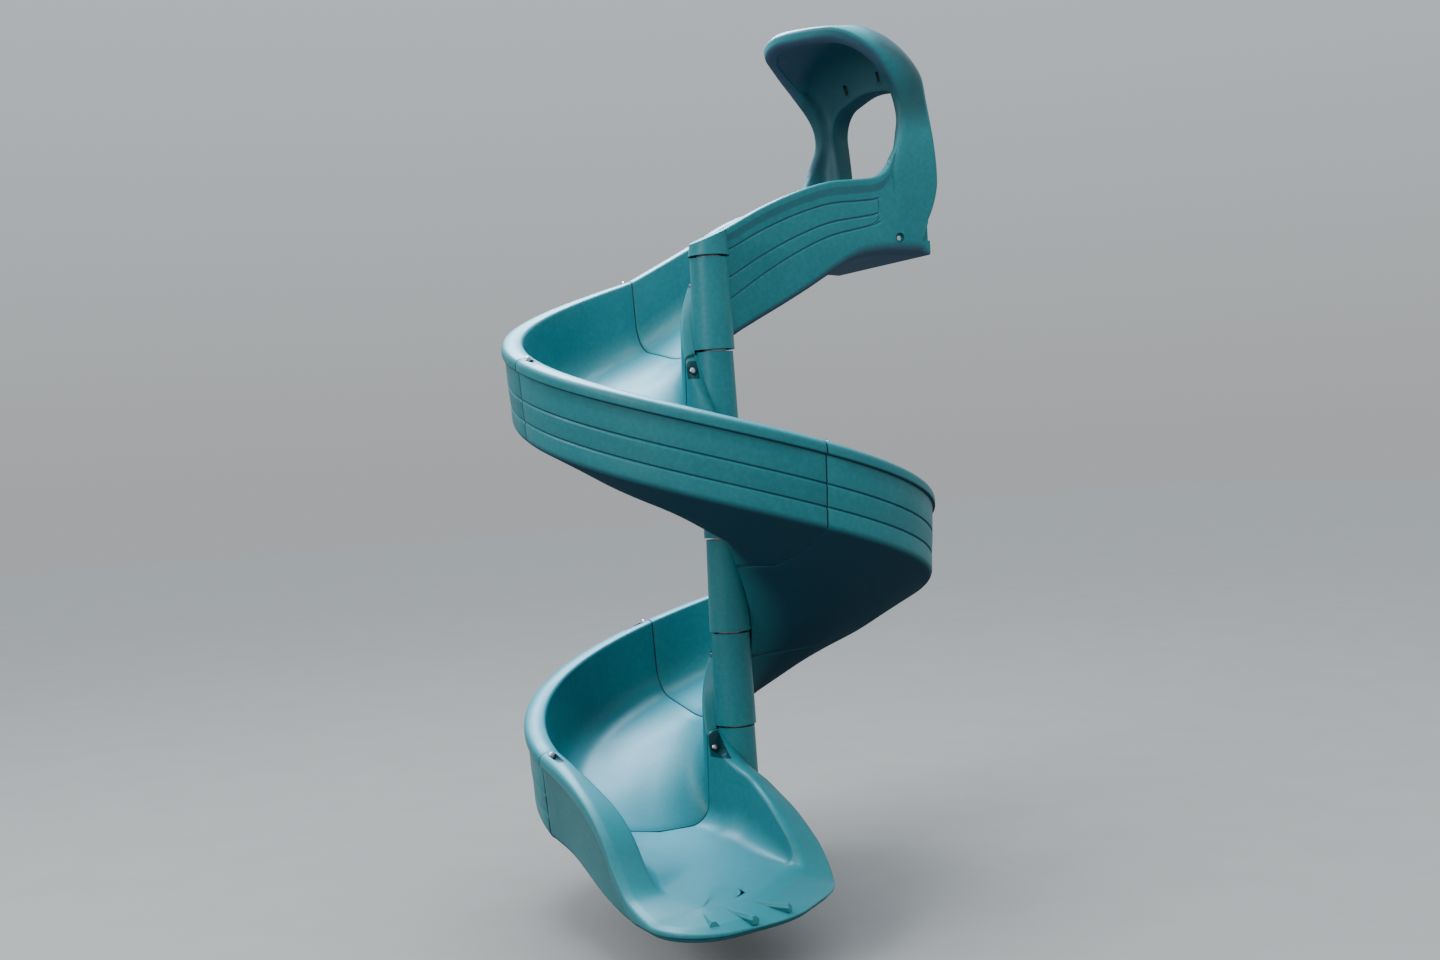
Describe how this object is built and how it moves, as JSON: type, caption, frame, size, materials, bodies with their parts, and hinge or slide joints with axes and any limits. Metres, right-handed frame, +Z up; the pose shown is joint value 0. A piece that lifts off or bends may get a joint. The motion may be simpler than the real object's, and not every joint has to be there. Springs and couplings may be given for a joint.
{
  "type": "spiral slide",
  "caption": "Tall spiral playground slide: moulded plastic chute sections bolted round a steel pole, with a hooded entry at deck height and a rounded low exit.",
  "frame": {"origin": "centre of the pole's base plate, on its underside", "axes": "+Z up along the pole; +X from the pole along the entry towards the deck; the slide leaves at the bottom towards -Y"},
  "size_m": [1.8149, 1.822, 3.312],
  "materials": {
    "moulded_plastic": "satin moulded plastic, dark teal",
    "galvanised_steel": "dull galvanised",
    "zinc_bolt": "zinc-plated",
    "brass_insert": "as machined"
  },
  "bodies": {
    "root": {"center_pole": "galvanised_steel", "entry_section": "moulded_plastic", "spiral_section_1": "moulded_plastic", "spiral_section_2": "moulded_plastic", "spiral_section_3": "moulded_plastic", "spiral_section_4": "moulded_plastic", "spiral_section_5": "moulded_plastic", "exit_section": "moulded_plastic", "rim_bolt_1": "zinc_bolt", "rim_bolt_2": "zinc_bolt", "rim_bolt_3": "zinc_bolt", "rim_bolt_4": "zinc_bolt", "rim_bolt_5": "zinc_bolt", "rim_bolt_6": "zinc_bolt", "hub_bolt_1": "zinc_bolt", "hub_bolt_2": "zinc_bolt", "hub_bolt_3": "zinc_bolt", "hub_bolt_4": "zinc_bolt", "hub_bolt_5": "zinc_bolt", "hub_bolt_6": "zinc_bolt", "belly_bolt_1": "zinc_bolt", "belly_bolt_2": "zinc_bolt", "belly_bolt_3": "zinc_bolt", "belly_bolt_4": "zinc_bolt", "belly_bolt_5": "zinc_bolt", "belly_bolt_6": "zinc_bolt", "near_deck_bolt": "zinc_bolt", "far_deck_bolt": "zinc_bolt", "rim_insert_1": "brass_insert", "rim_insert_2": "brass_insert", "rim_insert_3": "brass_insert", "rim_insert_4": "brass_insert", "rim_insert_5": "brass_insert", "rim_insert_6": "brass_insert", "hub_insert_1": "brass_insert", "hub_insert_2": "brass_insert", "hub_insert_3": "brass_insert", "hub_insert_4": "brass_insert", "hub_insert_5": "brass_insert", "hub_insert_6": "brass_insert", "belly_insert_1": "brass_insert", "belly_insert_2": "brass_insert", "belly_insert_3": "brass_insert", "belly_insert_4": "brass_insert", "belly_insert_5": "brass_insert", "belly_insert_6": "brass_insert"}
  },
  "joints": []
}
